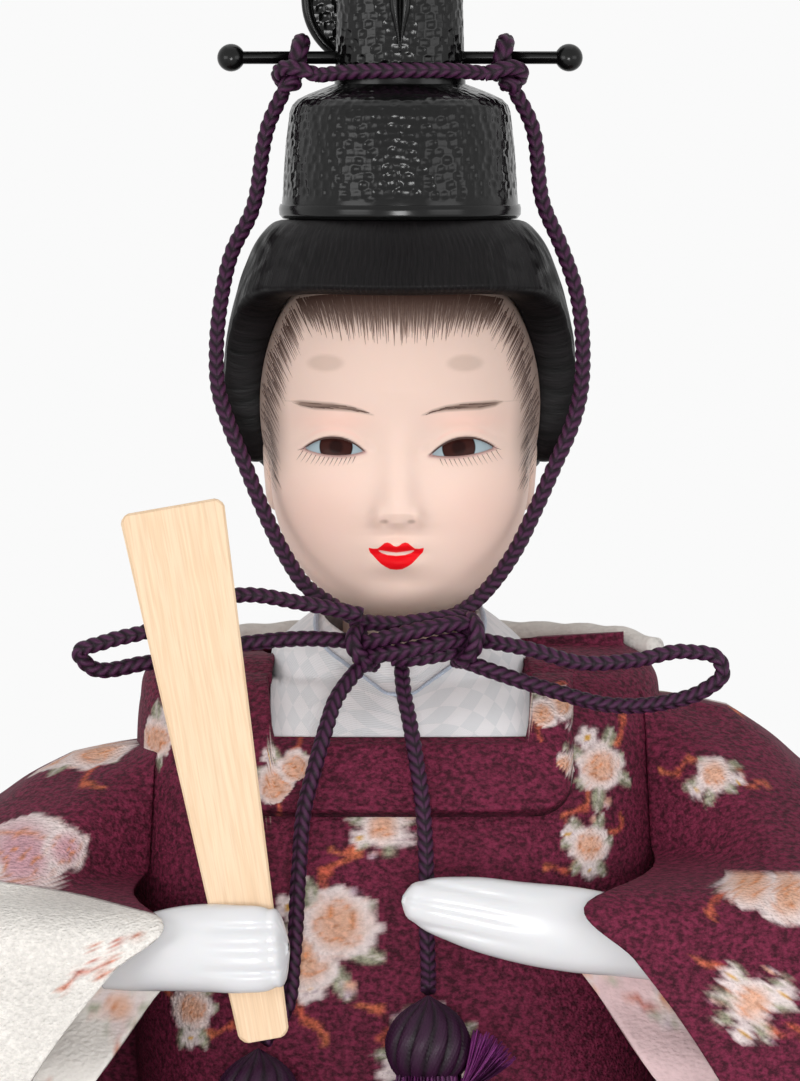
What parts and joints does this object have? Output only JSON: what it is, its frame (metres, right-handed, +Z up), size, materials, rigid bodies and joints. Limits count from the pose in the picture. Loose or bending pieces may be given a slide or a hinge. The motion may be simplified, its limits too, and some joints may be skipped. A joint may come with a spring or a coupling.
{
  "type": "seated emperor doll",
  "caption": "Seated court doll in a wide-sleeved crepe robe and trousers, with a turning head, a tall lacquered crown tied by a tasselled cord, and a wooden sceptre held in turning hands.",
  "frame": {"origin": "on the floor under the neck, at the seat board's underside", "axes": "+Z up, -Y towards the front that the face looks to, +X towards the doll's left hand"},
  "size_m": [0.2558, 0.1907, 0.3257],
  "materials": {
    "burgundy_crepe": "matt crepe, printed",
    "pale_crepe": "matt crepe, printed",
    "white_silk": "fine check weave",
    "grey_braid": "braided edge",
    "trouser_silk": "woven silk",
    "belt_leather": "black lacquered",
    "straw": "bound straw",
    "cotton": "cotton padding",
    "fir_board": "planed",
    "iron_wire": "drawn",
    "painted_composition": "shell-white paint, semi-gloss",
    "glass_eye": "polished",
    "silk_hair": "combed thread",
    "black_lacquer": "glossy",
    "braided_silk": "round braid",
    "tassel_silk": "twisted thread",
    "white_moulding": "glossy",
    "pale_cypress": "planed, oiled",
    "peg_wood": "turned"
  },
  "bodies": {
    "torso": {"arm_wire": "iron_wire", "body_core": "straw", "collar_lining": "grey_braid", "hem_band": "burgundy_crepe", "inner_collar": "white_silk", "left_arm_padding": "cotton", "left_hakama": "trouser_silk", "left_hanging_cord": "braided_silk", "left_leg_roll": "straw", "left_sleeve": "burgundy_crepe", "left_sleeve_inner": "pale_crepe", "left_tassel": "tassel_silk", "left_tassel_band": "tassel_silk", "right_arm_padding": "cotton", "right_hakama": "trouser_silk", "right_hanging_cord": "braided_silk", "right_leg_roll": "straw", "right_sleeve": "burgundy_crepe", "right_sleeve_inner": "pale_crepe", "right_tassel": "tassel_silk", "right_tassel_band": "tassel_silk", "robe_back": "burgundy_crepe", "robe_collar": "burgundy_crepe", "robe_front": "burgundy_crepe", "seat_board": "fir_board", "skirt": "burgundy_crepe", "train": "burgundy_crepe", "under_robe_yoke": "pale_crepe", "waist_belt": "belt_leather"},
    "head": {"neck_peg": "peg_wood", "head": "painted_composition", "left_eye": "glass_eye", "right_eye": "glass_eye", "hair": "silk_hair", "topknot": "silk_hair", "crown_rim": "black_lacquer", "crown_cap": "black_lacquer", "crown_tower": "black_lacquer", "crown_ridge": "black_lacquer", "crown_pin": "black_lacquer", "tail_socket": "black_lacquer", "right_pin_knot": "braided_silk", "left_pin_knot": "braided_silk", "front_cord": "braided_silk", "right_side_cord": "braided_silk", "left_side_cord": "braided_silk", "chin_knot": "braided_silk", "right_bow_loop": "braided_silk", "left_bow_loop": "braided_silk"},
    "crown_tail": {"tail_panel": "black_lacquer", "tail_rim": "black_lacquer"},
    "right_hand": {"right_hand": "white_moulding"},
    "left_hand": {"left_hand": "white_moulding"},
    "sceptre": {"shaku": "pale_cypress"}
  },
  "joints": [
    {"name": "head_turn", "type": "hinge", "parent": "torso", "child": "head", "pos_m": [0, 0, 0.15], "axis": [0, 0, 1], "range_deg": [-10, 10], "deforming": ["right_hanging_cord", "left_hanging_cord"]},
    {"name": "tail_lift", "type": "slide", "parent": "head", "child": "crown_tail", "axis": [0, 0, 1], "range_m": [0, 0.008]},
    {"name": "right_wrist_turn", "type": "hinge", "parent": "torso", "child": "right_hand", "pos_m": [-0.0428, -0.0396, 0.1258], "axis": [0.8998, -0.3903, 0.1951], "range_deg": [-6, 6]},
    {"name": "left_wrist_turn", "type": "hinge", "parent": "torso", "child": "left_hand", "pos_m": [0.0428, -0.0396, 0.1258], "axis": [-0.8998, -0.3903, 0.1951], "range_deg": [-10, 10]},
    {"name": "shaku_pull", "type": "slide", "parent": "right_hand", "child": "sceptre", "axis": [-0.1722, 0, 0.9851], "range_m": [0, 0.022]}
  ]
}
